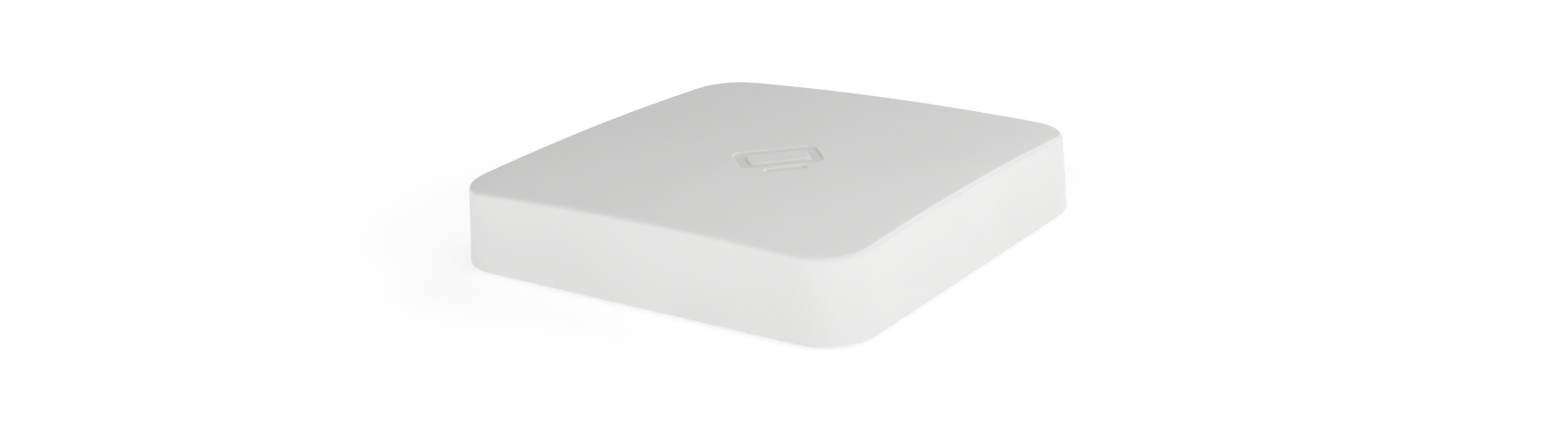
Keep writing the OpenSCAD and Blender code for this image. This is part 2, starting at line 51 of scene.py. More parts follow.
# ------------------------------------------------------------------ sizes of the case
COVER_LOW, COVER_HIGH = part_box("top_cover")
HALF = COVER_HIGH.x
RIM_Z = COVER_LOW.z
APEX_Z = COVER_HIGH.z
CROWN = 2.8 * MM            # how far the middle of the top stands above its corners
EDGE_Z = APEX_Z - CROWN
CORNER_R = 11.3 * MM
DRAFT = 1.1 * MM            # lean of each wall
TOP_EDGE_R = 1.0 * MM
RIM_EDGE_R = 0.5 * MM
WALL_T = 1.8 * MM
TOP_T = 2.0 * MM
INNER_EDGE_R = 0.7 * MM
STRAIGHT = HALF - CORNER_R  # half of a side's straight stretch
WINDOW_HALF = 38.1 * MM     # opening for the socket panel
WINDOW_TOP = 15.6 * MM
BOARD_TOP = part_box("main_board")[1].z


# ------------------------------------------------------------------ mesh helpers
def new_object(name, mesh, body="case"):
    piece = bpy.data.objects.new(name, mesh)
    bpy.context.scene.collection.objects.link(piece)
    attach(piece, body)
    return piece


def mesh_piece(name, verts, faces, sharp_angle=40, body="case"):
    """A smooth-shaded piece, sharp only where its faces meet at more than sharp_angle."""
    mesh = bpy.data.meshes.new(name)
    mesh.from_pydata([tuple(v) for v in verts], [], faces)
    mesh.polygons.foreach_set("use_smooth", [True] * len(mesh.polygons))
    mesh.set_sharp_from_angle(angle=math.radians(sharp_angle))
    mesh.update()
    return new_object(name, mesh, body)


def stands_for(piece, node):
    """piece replaces a CAD node, which is hidden."""
    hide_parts(node)
    return piece


def lathe(profile, axis_at, axis="z", steps=64):
    """Vertices and faces of a turned solid. profile runs from pole to pole as (radius, height)."""
    verts, faces = [], []
    turn = {
        "z": lambda r, h, a: Vector((r * math.cos(a), r * math.sin(a), h)),
        "y": lambda r, h, a: Vector((r * math.cos(a), h, -r * math.sin(a))),
    }[axis]
    rings = []
    for r, h in profile:
        if r < 1e-9:
            rings.append([len(verts)])
            verts.append(turn(0, h, 0) + Vector(axis_at))
            continue
        rings.append(list(range(len(verts), len(verts) + steps)))
        verts += [turn(r, h, 2 * math.pi * i / steps) + Vector(axis_at) for i in range(steps)]
    for low, high in zip(rings, rings[1:]):
        for i in range(steps):
            j = (i + 1) % steps
            if len(low) == 1:
                faces.append((low[0], high[j], high[i]))
            elif len(high) == 1:
                faces.append((low[i], low[j], high[0]))
            else:
                faces.append((low[i], low[j], high[j], high[i]))
    return verts, faces


def arc(centre, radius, start, end, steps):
    """Points (r, h) on an arc in a lathe's profile, angles in degrees."""
    points = []
    for i in range(steps + 1):
        a = math.radians(start + (end - start) * i / steps)
        points.append((centre[0] + radius * math.cos(a), centre[1] + radius * math.sin(a)))
    return points


def join_parts(parts):
    """One vertex and face list from several."""
    verts, faces = [], []
    for part_verts, part_faces in parts:
        base = len(verts)
        verts += list(part_verts)
        faces += [tuple(base + i for i in face) for face in part_faces]
    return verts, faces


def box_part(low, high, edge=0.15 * MM):
    """A block between two corners with small chamfers, as vertices and faces."""
    bm = bmesh.new()
    bmesh.ops.create_cube(bm, size=1)
    size = Vector(high) - Vector(low)
    middle = (Vector(high) + Vector(low)) / 2
    for v in bm.verts:
        v.co = Vector(c * s for c, s in zip(v.co, size)) + middle
    width = min(edge, min(size) * 0.3)
    bmesh.ops.bevel(bm, geom=list(bm.edges), offset=width, segments=2, profile=0.5, affect="EDGES")
    bm.verts.ensure_lookup_table()
    bm.verts.index_update()
    result = [v.co.copy() for v in bm.verts], [tuple(v.index for v in f.verts) for f in bm.faces]
    bm.free()
    return result


def softened(node, width):
    """The CAD node's own shape as a clean mesh with its edges rounded, in place of the node."""
    bm = bmesh.new()
    bm.from_mesh(CAD[node].data)
    bmesh.ops.remove_doubles(bm, verts=bm.verts, dist=1e-6)
    bmesh.ops.dissolve_limit(bm, angle_limit=math.radians(0.6), verts=bm.verts, edges=bm.edges)
    for face in bm.faces:
        face.smooth = True
    mesh = bpy.data.meshes.new(node)
    bm.to_mesh(mesh)
    bm.free()
    piece = new_object(node + "_finished", mesh, BODY_OF[node])
    bevel = piece.modifiers.new("Edges", "BEVEL")
    bevel.width = width
    bevel.segments = 2
    bevel.limit_method = "ANGLE"
    bevel.angle_limit = math.radians(30)
    bevel.miter_outer = "MITER_ARC"
    normals = piece.modifiers.new("Normals", "WEIGHTED_NORMAL")
    normals.keep_sharp = False
    normals.weight = 100
    return stands_for(piece, node)


BODY_OF = {n: b for b, members in frame["record"]["behaviour"]["bodies"].items() for n in members}
SLOT_OF = {s["node"]: s["material_slot"] for s in frame["record"]["subparts"]}


# ------------------------------------------------------------------ materials
class Finish:
    """A material whose nodes are placed in metres in the object's own frame."""

    def __init__(self, name, **constants):
        self.material = bpy.data.materials.new(name)
        self.material.use_nodes = True
        self.nodes = self.material.node_tree.nodes
        self.links = self.material.node_tree.links
        self.shader = next(n for n in self.nodes if n.type == "BSDF_PRINCIPLED")
        self.place = self.nodes.new("ShaderNodeTexCoord").outputs["Object"]
        for socket, value in constants.items():
            self.shader.inputs[socket.replace("_", " ")].default_value = value

    def mapped(self, stretch=(1, 1, 1), turn=0):
        node = self.nodes.new("ShaderNodeMapping")
        node.inputs["Scale"].default_value = stretch
        node.inputs["Rotation"].default_value = (0, 0, turn)
        self.links.new(self.place, node.inputs["Vector"])
        return node.outputs["Vector"]

    def noise(self, per_metre, detail=3, rough=0.5, stretch=(1, 1, 1)):
        node = self.nodes.new("ShaderNodeTexNoise")
        node.inputs["Scale"].default_value = per_metre
        node.inputs["Detail"].default_value = detail
        node.inputs["Roughness"].default_value = rough
        self.links.new(self.mapped(stretch), node.inputs["Vector"])
        return node.outputs["Fac"]

    def cells(self, per_metre):
        """Distance to the nearest of points strewn at random, as plated holes are."""
        node = self.nodes.new("ShaderNodeTexVoronoi")
        node.inputs["Scale"].default_value = per_metre
        self.links.new(self.mapped(), node.inputs["Vector"])
        return node.outputs["Distance"]

    def tracks(self, per_metre, turn=0, gap=0.012, offset=0.5):
        """Lines between bricks, as a board's tracks run: 1 on a line and 0 off it."""
        node = self.nodes.new("ShaderNodeTexBrick")
        node.inputs["Scale"].default_value = per_metre
        node.inputs["Mortar Size"].default_value = gap
        node.inputs["Mortar Smooth"].default_value = 0.1
        node.offset = offset
        self.links.new(self.mapped(turn=turn), node.inputs["Vector"])
        return node.outputs["Fac"]

    def maths(self, operation, first, second):
        node = self.nodes.new("ShaderNodeMath")
        node.operation = operation
        for socket, value in zip(node.inputs, (first, second)):
            if isinstance(value, (int, float)):
                socket.default_value = value
            else:
                self.links.new(value, socket)
        return node.outputs["Value"]

    def spread(self, source, low, high, start=0.3, end=0.7):
        node = self.nodes.new("ShaderNodeMapRange")
        node.inputs["From Min"].default_value = start
        node.inputs["From Max"].default_value = end
        node.inputs["To Min"].default_value = low
        node.inputs["To Max"].default_value = high
        self.links.new(source, node.inputs["Value"])
        return node.outputs["Result"]

    def ramp(self, source, *stops):
        node = self.nodes.new("ShaderNodeValToRGB")
        elements = node.color_ramp.elements
        while len(elements) < len(stops):
            elements.new(0.5)
        for element, (place, colour) in zip(elements, stops):
            element.position = place
            element.color = (*colour, 1)
        self.links.new(source, node.inputs["Fac"])
        return node.outputs["Color"]

    def blend(self, factor, first, second):
        node = self.nodes.new("ShaderNodeMix")
        node.data_type = "RGBA"
        self.links.new(factor, node.inputs["Factor"])
        for socket, value in (("A", first), ("B", second)):
            target = [s for s in node.inputs if s.name == socket and s.type == "RGBA"][0]
            if isinstance(value, tuple):
                target.default_value = (*value, 1)
            else:
                self.links.new(value, target)
        return [s for s in node.outputs if s.type == "RGBA"][0]

    def colour(self, source):
        self.links.new(source, self.shader.inputs["Base Color"])
        return self

    def rough(self, source):
        self.links.new(source, self.shader.inputs["Roughness"])
        return self

    def bump(self, *layers):
        """Each layer is a height source and the depth in metres that it stands for."""
        normal = None
        for source, depth in layers:
            node = self.nodes.new("ShaderNodeBump")
            node.inputs["Strength"].default_value = 1.0
            node.inputs["Distance"].default_value = depth
            self.links.new(source, node.inputs["Height"])
            if normal is not None:
                self.links.new(normal, node.inputs["Normal"])
            normal = node.outputs["Normal"]
        self.links.new(normal, self.shader.inputs["Normal"])
        return self


def shades(base, amount):
    """A colour a little darker and a little lighter than base."""
    return tuple(c * (1 - amount) for c in base), tuple(min(1, c * (1 + amount)) for c in base)


def moulded(name, base, roughness, grain=5200, depth=0.006 * MM, amount=0.02, **constants):
    """Moulded plastic: a fine spark-eroded grain, faint flow marks and a slightly uneven sheen."""
    finish = Finish(name, **constants)
    dark, light = shades(base, amount)
    flow = finish.noise(38, detail=4, rough=0.55)
    fine = finish.noise(grain, detail=2, rough=0.6)
    speck = finish.noise(grain * 0.22, detail=3, rough=0.6)
    finish.colour(finish.ramp(flow, (0.32, dark), (0.7, light)))
    finish.rough(finish.spread(speck, roughness - 0.035, roughness + 0.045))
    finish.bump((fine, depth), (flow, depth * 3))
    return finish.material


def plated(name, base, roughness, stretch=(1, 1, 1), amount=0.06, depth=0.004 * MM, grain=900):
    """Bright metal with drawing lines or rolling grain and small tarnished clouds."""
    finish = Finish(name, Metallic=1.0)
    dark, light = shades(base, amount)
    clouds = finish.noise(160, detail=5, rough=0.6)
    lines = finish.noise(grain, detail=3, rough=0.55, stretch=stretch)
    finish.colour(finish.ramp(clouds, (0.3, dark), (0.68, light)))
    finish.rough(finish.spread(lines, roughness - 0.07, roughness + 0.09))
    finish.bump((lines, depth))
    return finish.material


def circuit_board(name, mask, copper, track_scale=330):
    """Solder mask with tracks raised under it, plated holes and a faint cloth weave."""
    finish = Finish(name, Coat_Weight=0.35, Coat_Roughness=0.22)
    dark, light = shades(mask, 0.12)
    where = finish.noise(70, detail=2)
    straight = finish.tracks(track_scale)
    slanted = finish.tracks(track_scale * 1.35, turn=math.radians(45), offset=0.0)
    chosen = finish.spread(where, 0, 1, 0.5, 0.53)
    track = finish.maths("MULTIPLY", straight, chosen)
    other = finish.maths("MULTIPLY", slanted, finish.maths("SUBTRACT", 1, chosen))
    lines = finish.maths("MAXIMUM", track, other)
    holes = finish.spread(finish.cells(300), 1, 0, 0.075, 0.1)
    weave = finish.noise(2600, detail=1, stretch=(1, 3, 1))
    ground = finish.ramp(finish.noise(500, detail=3), (0.3, dark), (0.7, light))
    tinted = finish.blend(lines, ground, copper)
    finish.colour(finish.blend(holes, tinted, (0.62, 0.60, 0.52)))
    finish.rough(finish.spread(weave, 0.32, 0.46))
    finish.bump((weave, 0.004 * MM), (lines, 0.02 * MM))
    return finish.material


def soft_rubber(name, base):
    finish = Finish(name, Sheen_Weight=0.15, Sheen_Roughness=0.6)
    dark, light = shades(base, 0.14)
    dust = finish.noise(700, detail=5, rough=0.7)
    fine = finish.noise(3600, detail=2)
    finish.colour(finish.ramp(dust, (0.3, dark), (0.72, light)))
    finish.rough(finish.spread(dust, 0.68, 0.84))
    finish.bump((fine, 0.012 * MM))
    return finish.material


def clear_plastic(name, base):
    finish = Finish(name, Transmission_Weight=0.9, IOR=1.49)
    dark, light = shades(base, 0.03)
    haze = finish.noise(300, detail=4)
    finish.colour(finish.ramp(haze, (0.3, dark), (0.7, light)))
    finish.rough(finish.spread(haze, 0.05, 0.16))
    finish.bump((finish.noise(1500), 0.002 * MM))
    return finish.material


MATERIALS = {
    "case_white": moulded(
        "Cover_white", (0.80, 0.80, 0.792), 0.43, depth=0.005 * MM, amount=0.012,
        Subsurface_Weight=0.06, Subsurface_Scale=0.8 * MM,
    ),
    "base_grey": moulded(
        "Base_grey", (0.53, 0.535, 0.54), 0.55, grain=3600, depth=0.012 * MM, amount=0.03,
    ),
    "foot_rubber": soft_rubber("Foot_rubber", (0.10, 0.10, 0.105)),
    "screw_steel": plated("Screw_steel", (0.56, 0.56, 0.57), 0.34, grain=1800),
    "label_film": moulded(
        "Label_film", (0.74, 0.74, 0.73), 0.36, grain=2600, depth=0.003 * MM, amount=0.03,
    ),
    "solder_mask": circuit_board("Solder_mask", (0.012, 0.085, 0.045), (0.05, 0.2, 0.1)),
    "chip_black": moulded(
        "Chip_black", (0.028, 0.028, 0.031), 0.52, grain=4200, depth=0.01 * MM, amount=0.15,
    ),
    "thermal_silicone": soft_rubber("Thermal_silicone", (0.30, 0.38, 0.52)),
    "heat_sink_aluminium": plated(
        "Heat_sink_aluminium", (0.74, 0.75, 0.76), 0.36, stretch=(4, 0.15, 4),
    ),
    "nylon": moulded(
        "Nylon", (0.74, 0.71, 0.62), 0.42, grain=2400, amount=0.03,
        Subsurface_Weight=0.12, Subsurface_Scale=0.6 * MM,
    ),
    "spring_steel": plated("Spring_steel", (0.60, 0.60, 0.61), 0.24, grain=2600),
    "ferrite": moulded(
        "Ferrite", (0.065, 0.065, 0.07), 0.6, grain=2600, depth=0.02 * MM, amount=0.2,
    ),
    "can_aluminium": plated("Can_aluminium", (0.80, 0.80, 0.81), 0.2, stretch=(1, 1, 6)),
    "ceramic": moulded(
        "Ceramic", (0.36, 0.26, 0.16), 0.5, grain=3000, depth=0.012 * MM, amount=0.18,
    ),
    "module_blue": circuit_board("Module_blue", (0.006, 0.018, 0.075), (0.03, 0.07, 0.2), 620),
    "tin_plate": plated("Tin_plate", (0.70, 0.70, 0.69), 0.27, stretch=(1, 0.3, 3)),
    "gold_plate": plated("Gold_plate", (0.86, 0.62, 0.25), 0.22),
    "cable_jacket": moulded("Cable_jacket", (0.045, 0.045, 0.05), 0.45, grain=2600, amount=0.12),
    "led_lens": moulded(
        "Led_lens", (0.78, 0.78, 0.70), 0.22, grain=2400, amount=0.05, Coat_Weight=0.6,
    ),
    "clear_acrylic": clear_plastic("Clear_acrylic", (0.93, 0.96, 0.97)),
    "socket_black": moulded(
        "Socket_black", (0.022, 0.022, 0.025), 0.44, grain=3800, depth=0.008 * MM, amount=0.12,
    ),
    "socket_white": moulded("Socket_white", (0.72, 0.72, 0.70), 0.4, grain=3800, amount=0.03),
    "antenna_board": circuit_board(
        "Antenna_board", (0.02, 0.02, 0.022), (0.075, 0.06, 0.035), 260,
    ),
}
# The sign has a rougher finish of its own, and its colour is darker than the cover's as painted
# shade in the sign's recess.
SIGN_FINISH_AND_PAINTED_SHADE = moulded(
    "Sign_white_painted_shade", (0.715, 0.715, 0.70), 0.52, grain=4200, depth=0.006 * MM, amount=0.012,
    Subsurface_Weight=0.06, Subsurface_Scale=0.8 * MM,
)


def paint(piece, slot):
    piece.data.materials.clear()
    piece.data.materials.append(MATERIALS[slot])


# ------------------------------------------------------------------ the domed cover
COLUMNS = 64           # mesh columns from the middle of a side to the middle of its corner
WINDOW_COLUMNS = 52    # of which this many cross half of the socket window
PATCH = 9.8 * MM       # half the side of the fine square patch that carries the sign
SIGN_AT = (6.6 * MM, -6.7 * MM)
SIGN_TURN = math.radians(45)    # the sign is read from the corner between front and right
SIGN_DEPTH = 0.4 * MM
SIGN_SLOPE = 0.42 * MM          # width of the slope at the sign's edges
REAR, FRONT = 1, 3     # sides are counted anticlockwise from +X
POCKET_COLUMNS = 2     # half the width of the light guide's pocket in the front wall
POCKET_Z = (5.7 * MM, 8.5 * MM)
POCKET_FLOOR = 1 * MM  # wall left in front of the pocket


def dome(x, y):
    return CROWN * (1 - (x * x + y * y) / (2 * HALF * HALF))


def turned(x, y, side):
    return [(x, y), (-y, x), (-x, -y), (y, -x)][side]


def outline_point(column, inset):
    """A point on the case's rounded-square outline, moved inwards by inset."""
    side, j = divmod(column, 2 * COLUMNS)
    j -= COLUMNS
    n = abs(j)
    corner = STRAIGHT + CORNER_R * math.pi / 4
    if n <= WINDOW_COLUMNS:
        s = WINDOW_HALF * n / WINDOW_COLUMNS
    else:
        s = WINDOW_HALF + (corner - WINDOW_HALF) * (n - WINDOW_COLUMNS) / (COLUMNS - WINDOW_COLUMNS)
    x, y = HALF - inset, s
    if s > STRAIGHT:
        a = (s - STRAIGHT) / CORNER_R
        x = STRAIGHT + (CORNER_R - inset) * math.cos(a)
        y = STRAIGHT + (CORNER_R - inset) * math.sin(a)
    return turned(x, math.copysign(y, j), side)


def rounded_box_distance(x, y, half_x, half_y, r):
    dx, dy = abs(x) - half_x + r, abs(y) - half_y + r
    return math.hypot(max(dx, 0), max(dy, 0)) + min(max(dx, dy), 0) - r


def sign_distance(u, v):
    """Distance to the sign's edge, negative inside: the outline of a screen, on a stand."""
    outside = rounded_box_distance(u, v - 1.8 * MM, 9 * MM, 5.5 * MM, 2 * MM)
    inside = rounded_box_distance(u, v - 1.8 * MM, 6.6 * MM, 3.1 * MM, 0.9 * MM)
    stand = rounded_box_distance(u, v + 6.4 * MM, 4.5 * MM, 1 * MM, 1 * MM)
    return min(max(outside, -inside), stand)


def patch_point(a, b):
    """A point of the patch in plan. a and b run from -1 to 1 along the sign's own directions."""
    u, v = PATCH * a, PATCH * b
    cos, sin = math.cos(SIGN_TURN), math.sin(SIGN_TURN)
    return SIGN_AT[0] + u * cos - v * sin, SIGN_AT[1] + u * sin + v * cos


def border_place(column):
    """Where a ring's column meets the patch's border, which is an eighth of a turn behind."""
    side, j = divmod((column - COLUMNS) % (8 * COLUMNS), 2 * COLUMNS)
    return turned(1, j / COLUMNS - 1, side)


def cover_rings():
    """The cover from its top patch outwards, down, round the rim and up inside, ring by ring.

    Returns the rings and the places of the outer and the inner ring at the window's top."""
    columns = range(8 * COLUMNS)
    rings = []

    def add(inset, height):
        ring = []
        for c in columns:
            x, y = outline_point(c, inset)
            ring.append(Vector((x, y, height(x, y))))
        rings.append(ring)

    def add_between(low, high, z):
        ring = []
        for a, b in zip(low, high):
            w = min(0.985, (z - a.z) / (b.z - a.z))
            ring.append(a.lerp(b, w))
        rings.append(ring)

    top_inset = DRAFT + TOP_EDGE_R
    spread_rings = 26
    for k in range(1, spread_rings + 1):
        w = (k / spread_rings) ** 1.35
        ring = []
        for c in columns:
            inner = Vector(patch_point(*border_place(c)))
            x, y = inner.lerp(Vector(outline_point(c, top_inset)), w)
            ring.append(Vector((x, y, EDGE_Z + dome(x, y))))
        rings.append(ring)
    for k in range(1, 13):
        t = math.radians(90 - 7.5 * k)
        drop = TOP_EDGE_R * (1 - math.sin(t))
        add(DRAFT + TOP_EDGE_R * (1 - math.cos(t)), lambda x, y: EDGE_Z - drop + dome(x, y))
    wall_top = rings[-1]
    wall_low = [Vector((*outline_point(c, 0), RIM_Z + RIM_EDGE_R)) for c in columns]
    outer_window = len(rings)
    for z in (WINDOW_TOP, 12.4 * MM, 9 * MM, 5.4 * MM):
        add_between(wall_low, wall_top, z)
    rings.append(wall_low)
    for k in range(1, 7):
        t = math.radians(15 * k)
        add(RIM_EDGE_R * (1 - math.cos(t)), lambda x, y: RIM_Z + RIM_EDGE_R * (1 - math.sin(t)))
    step = 0.15 * MM
    add(WALL_T - step, lambda x, y: RIM_Z)
    add(WALL_T, lambda x, y: RIM_Z + step)
    inner_low = rings[-1]
    ceiling = EDGE_Z - TOP_T
    inner_top = []
    for c in columns:
        x, y = outline_point(c, DRAFT + WALL_T)
        inner_top.append(Vector((x, y, ceiling - INNER_EDGE_R + dome(x, y))))
    for z in (3 * MM, *POCKET_Z, 12.4 * MM, WINDOW_TOP):
        add_between(inner_low, inner_top, z)
    inner_window = len(rings) - 1
    rings.append(inner_top)
    for k in range(1, 5):
        t = math.radians(22.5 * k)
        drop = INNER_EDGE_R * (1 - math.sin(t))
        inset = DRAFT + WALL_T + INNER_EDGE_R * (1 - math.cos(t))
        add(inset, lambda x, y: ceiling - drop + dome(x, y))
    last = rings[-1]
    for share in (0.85, 0.68, 0.5, 0.33, 0.18, 0.07):
        plan = [(p.x * share, p.y * share) for p in last]
        rings.append([Vector((x, y, ceiling + dome(x, y))) for x, y in plan])
    return rings, outer_window, inner_window


def cover_mesh():
    """The moulding as one closed surface, with the socket window and the light's pocket in it."""
    verts, faces, sign_faces = [], [], []
    patch = {}
    for a in range(-COLUMNS, COLUMNS + 1):
        for b in range(-COLUMNS, COLUMNS + 1):
            x, y = patch_point(a / COLUMNS, b / COLUMNS)
            distance = sign_distance(PATCH * a / COLUMNS, PATCH * b / COLUMNS)
            w = min(1, max(0, 0.5 - distance / SIGN_SLOPE))
            patch[a, b] = len(verts)
            verts.append(Vector((x, y, EDGE_Z + dome(x, y) - SIGN_DEPTH * w * w * (3 - 2 * w))))
    for a in range(-COLUMNS, COLUMNS):
        for b in range(-COLUMNS, COLUMNS):
            if sign_distance(PATCH * (a + 0.5) / COLUMNS, PATCH * (b + 0.5) / COLUMNS) < 0:
                sign_faces.append(len(faces))
            faces.append((patch[a, b], patch[a + 1, b], patch[a + 1, b + 1], patch[a, b + 1]))
    count = 8 * COLUMNS
    border = []
    for c in range(count):
        a, b = border_place(c)
        border.append(patch[round(a * COLUMNS), round(b * COLUMNS)])
    rings, outer_window, inner_window = cover_rings()
    numbered = [border]
    for ring in rings:
        numbered.append(list(range(len(verts), len(verts) + count)))
        verts += ring
    outer_window += 1
    inner_window += 1
    pocket_low = inner_window - 3
    middle = {side: side * 2 * COLUMNS + COLUMNS for side in (REAR, FRONT)}

    def in_window(k, c):
        return outer_window <= k < inner_window and abs(c + 0.5 - middle[REAR]) < WINDOW_COLUMNS

    def in_pocket(k, c):
        return k == pocket_low and abs(c + 0.5 - middle[FRONT]) < POCKET_COLUMNS

    for k in range(len(numbered) - 1):
        here, after = numbered[k], numbered[k + 1]
        for c in range(count):
            if not in_window(k, c) and not in_pocket(k, c):
                d = (c + 1) % count
                faces.append((here[c], after[c], after[d], here[d]))
    # window: its top, and the cut ends of the wall
    start, end = middle[REAR] - WINDOW_COLUMNS, middle[REAR] + WINDOW_COLUMNS
    outer, inner = numbered[outer_window], numbered[inner_window]
    for c in range(start, end):
        faces.append((outer[c], inner[c], inner[c + 1], outer[c + 1]))
    section = numbered[outer_window:inner_window + 1]
    faces.append(tuple(ring[start] for ring in section))
    faces.append(tuple(ring[end] for ring in reversed(section)))
    # pocket in the inside of the front wall
    start, end = middle[FRONT] - POCKET_COLUMNS, middle[FRONT] + POCKET_COLUMNS
    low, high = numbered[pocket_low], numbered[pocket_low + 1]
    floor_y = -HALF + POCKET_FLOOR
    floor = {}
    for ring in (low, high):
        for c in range(start, end + 1):
            point = verts[ring[c]].copy()
            point.y = floor_y
            floor[ring[c]] = len(verts)
            verts.append(point)
    for c in range(start, end):
        faces.append((floor[low[c]], floor[high[c]], floor[high[c + 1]], floor[low[c + 1]]))
        faces.append((low[c], floor[low[c]], floor[low[c + 1]], low[c + 1]))
        faces.append((floor[high[c]], high[c], high[c + 1], floor[high[c + 1]]))
    faces.append((low[start], high[start], floor[high[start]], floor[low[start]]))
    faces.append((low[end], floor[low[end]], floor[high[end]], high[end]))
    # middle of the ceiling
    centre = len(verts)
    verts.append(Vector((0, 0, APEX_Z - TOP_T)))
    last = numbered[-1]
    for c in range(count):
        faces.append((last[c], centre, last[(c + 1) % count]))
    return verts, faces, sign_faces


def cover_bosses():
    """Screw bosses with their ribs, the antennas' slotted posts and the ceiling's ribs."""
    boss_x, boss_y, boss_low = HALF - 7 * MM, HALF - 16 * MM, 3.5 * MM
    boss_high = EDGE_Z - 0.4 * MM
    parts = []
    hole, outer, hole_top = 1.15 * MM, 3 * MM, 12.5 * MM
    profile = [
        (0, hole_top), (hole, hole_top), (hole, boss_low + 0.3 * MM),
        (hole + 0.3 * MM, boss_low), (outer - 0.2 * MM, boss_low), (outer, boss_low + 0.2 * MM),
        (outer, boss_high), (0, boss_high),
    ]
    for i in (-1, 1):
        for j in (-1, 1):
            parts.append(lathe(profile, (i * boss_x, j * boss_y, 0)))
            x0, x1 = sorted((i * (HALF - 5.8 * MM), i * (HALF - 1.4 * MM)))
            y0, y1 = j * boss_y - 0.6 * MM, j * boss_y + 0.6 * MM
            parts.append(box_part((x0, y0, 5.4 * MM), (x1, y1, 15.4 * MM)))
        for y, side in ((-19.2 * MM, -1), (17.2 * MM, 1)):
            near, far = sorted((y + side * 1.5 * MM, y))
            x0, x1 = sorted((i * (HALF - 4.3 * MM), i * (HALF - 1.7 * MM)))
            parts.append(box_part((x0, near, 6.5 * MM), (x1, far, 16.5 * MM)))
            x2, x3 = sorted((i * (HALF - 4.3 * MM), i * (HALF - 3.85 * MM)))
            near, far = sorted((y - side * 1.5 * MM, y))
            parts.append(box_part((x2, near, 6.5 * MM), (x3, far, 16.5 * MM)))
    for y in (-30 * MM, 30 * MM):
        low = (-30 * MM, y - 0.5 * MM, EDGE_Z - 1 * MM)
        high = (30 * MM, y + 0.5 * MM, EDGE_Z + 1.2 * MM)
        parts.append(box_part(low, high))
    return join_parts(parts)


def build_cover():
    verts, faces, sign_faces = cover_mesh()
    cover = mesh_piece("cover_shell", verts, faces, sharp_angle=55)
    stands_for(cover, "top_cover")
    paint(cover, "case_white")
    # The sign's faces take the darker colour, which paints shade into the recess.
    cover.data.materials.append(SIGN_FINISH_AND_PAINTED_SHADE)
    for i in sign_faces:
        cover.data.polygons[i].material_index = 1
    bosses = mesh_piece("cover_bosses", *cover_bosses())
    stands_for(bosses, "top_cover")
    paint(bosses, "case_white")


# ------------------------------------------------------------------ feet and button
def build_feet():
    low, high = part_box("rubber_feet")
    r = (high.x - low.x) / 2 - 33 * MM
    top = high.z
    soft = 0.45 * MM
    profile = [(0, 0.12 * MM), (r * 0.55, 0.12 * MM), (r * 0.7, 0.03 * MM), (r * 0.76, 0)]
    profile += arc((r - soft, soft), soft, -90, 0, 8)
    profile += [(r, top - 0.1 * MM), (r - 0.1 * MM, top), (0, top)]
    parts = []
    for x in (low.x + r, high.x - r):
        for y in (low.y + r, high.y - r):
            parts.append(lathe(profile, (x, y, 0), steps=96))
    feet = mesh_piece("feet", *join_parts(parts))
    stands_for(feet, "rubber_feet")
    paint(feet, "foot_rubber")


def build_button():
    low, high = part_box("pair_button")
    x, z = (low.x + high.x) / 2, (low.z + high.z) / 2
    flange_r = (high.x - low.x) / 2
    r = flange_r - 0.7 * MM
    soft = 0.35 * MM
    profile = [(0, low.y), (flange_r - 0.1 * MM, low.y), (flange_r, low.y + 0.1 * MM)]
    profile += [(flange_r, low.y + 0.8 * MM), (flange_r - 0.1 * MM, low.y + 0.9 * MM)]
    profile += [(r, low.y + 0.9 * MM)]
    profile += arc((r - soft, high.y - soft), soft, 0, 90, 8)
    dish = ((0.55, 0.08), (0.25, 0.14), (0, 0.16))
    profile += [(r * share, high.y - depth * MM) for share, depth in dish]
    turned_cap = lathe(profile, (x, 0, z), axis="y", steps=72)
    button = mesh_piece("button_cap", *turned_cap, body="pair_button")
    stands_for(button, "pair_button")
    paint(button, SLOT_OF["pair_button"])


# ------------------------------------------------------------------ small parts on the board
def islands(node):
    """Lowest and highest corner of each separate solid of a CAD node."""
    bm = bmesh.new()
    bm.from_mesh(CAD[node].data)
    bmesh.ops.remove_doubles(bm, verts=bm.verts, dist=1e-6)
    unseen, boxes = set(bm.verts), []
    while unseen:
        edge, found = [unseen.pop()], []
        while edge:
            v = edge.pop()
            found.append(v.co.copy())
            for e in v.link_edges:
                other = e.other_vert(v)
                if other in unseen:
                    unseen.remove(other)
                    edge.append(other)
        low = Vector(min(p[i] for p in found) for i in range(3))
        high = Vector(max(p[i] for p in found) for i in range(3))
        boxes.append((low, high))
    bm.free()
    return sorted(boxes, key=lambda b: tuple(round(c, 5) for c in b[0]))


def finished(name, parts, node, slot=None):
    """One piece from several parts that stands for a CAD node."""
    piece = mesh_piece(name, *join_parts(parts), body=BODY_OF[node])
    stands_for(piece, node)
    paint(piece, slot or SLOT_OF[node])
    return piece


def prism(plan, low, high):
    """An upright block with a flat outline given anticlockwise, as vertices and faces."""
    n = len(plan)
    verts = [(x, y, z) for z in (low, high) for x, y in plan]
    sides = [(i, (i + 1) % n, n + (i + 1) % n, n + i) for i in range(n)]
    return verts, [tuple(range(n - 1, -1, -1)), *sides, tuple(range(n, 2 * n))]


def can_mark(x, y, r):
    """The outline of the ink segment on the end of a can."""
    steps = 18
    angles = [math.radians(125 + 110 * i / steps) for i in range(steps + 1)]
    return [(x + r * math.cos(a), y + r * math.sin(a)) for a in angles]


